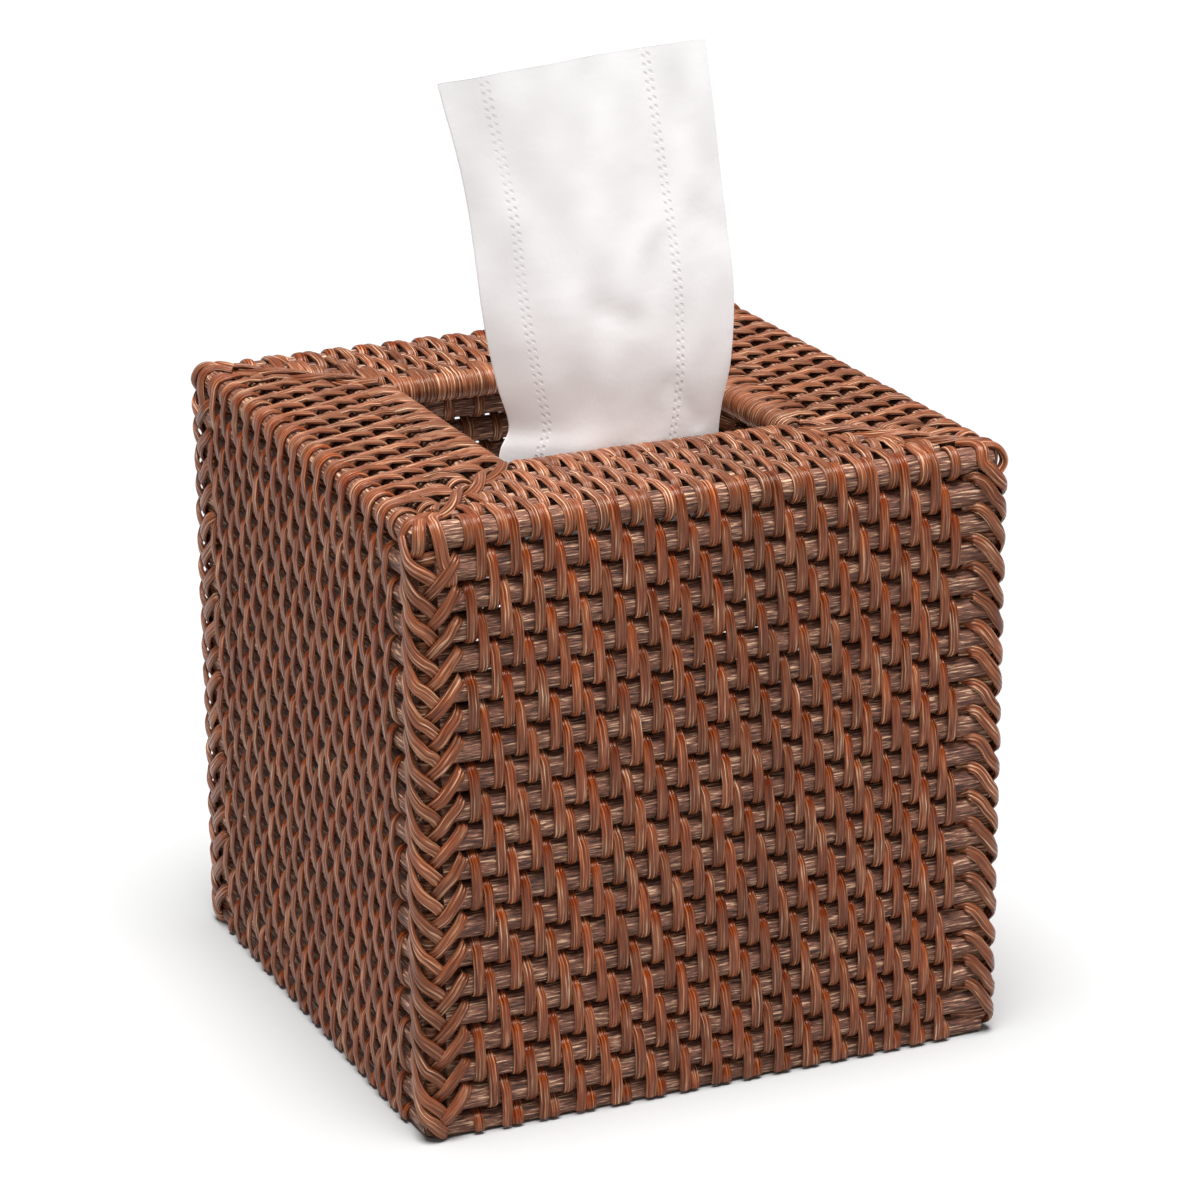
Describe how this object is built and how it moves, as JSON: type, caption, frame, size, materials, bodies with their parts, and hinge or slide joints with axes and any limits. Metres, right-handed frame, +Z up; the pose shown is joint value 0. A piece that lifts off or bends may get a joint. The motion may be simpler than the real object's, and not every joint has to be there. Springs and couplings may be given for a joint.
{
  "type": "tissue box cover",
  "caption": "Square woven rattan cover that stands over a cube stack of paper tissues, open below, with a square mouth in the top through which the next tissue stands.",
  "frame": {"origin": "middle of the square footprint, on the table", "axes": "+Z up, the front wall (the wide one in the picture) faces -Y, and the mouth is in the top"},
  "size_m": [0.1462, 0.1462, 0.236],
  "materials": {
    "rattan_core": "round rattan core canes, stained brown, satin",
    "rattan_peel": "split rattan peel, stained chestnut brown, soft gloss on the skin side",
    "tissue_paper": "soft white creped tissue, matte"
  },
  "bodies": {
    "tissue_pack": {"tissue_stack": "tissue_paper"},
    "cover": {"front_wall_canes": "rattan_core", "front_edge_cane": "rattan_core", "front_base_cane": "rattan_core", "front_top_canes": "rattan_core", "front_opening_cane": "rattan_core", "right_wall_canes": "rattan_core", "right_edge_cane": "rattan_core", "right_base_cane": "rattan_core", "right_top_canes": "rattan_core", "right_opening_cane": "rattan_core", "back_wall_canes": "rattan_core", "back_edge_cane": "rattan_core", "back_base_cane": "rattan_core", "back_top_canes": "rattan_core", "back_opening_cane": "rattan_core", "left_wall_canes": "rattan_core", "left_edge_cane": "rattan_core", "left_base_cane": "rattan_core", "left_top_canes": "rattan_core", "left_opening_cane": "rattan_core", "front_weave_strips": "rattan_peel", "right_weave_strips": "rattan_peel", "back_weave_strips": "rattan_peel", "left_weave_strips": "rattan_peel", "front_left_corner_lashing": "rattan_peel", "front_left_mitre_lashing": "rattan_peel", "front_right_corner_lashing": "rattan_peel", "front_right_mitre_lashing": "rattan_peel", "back_right_corner_lashing": "rattan_peel", "back_right_mitre_lashing": "rattan_peel", "back_left_corner_lashing": "rattan_peel", "back_left_mitre_lashing": "rattan_peel"},
    "tissue": {"tissue_sheet": "tissue_paper"}
  },
  "joints": [
    {"name": "cover_lift", "type": "slide", "parent": "tissue_pack", "child": "cover", "axis": [0, 0, 1], "range_m": [0, 0.15]},
    {"name": "tissue_pull", "type": "slide", "parent": "cover", "child": "tissue", "axis": [0, 0, 1], "range_m": [0, 0.09]}
  ]
}
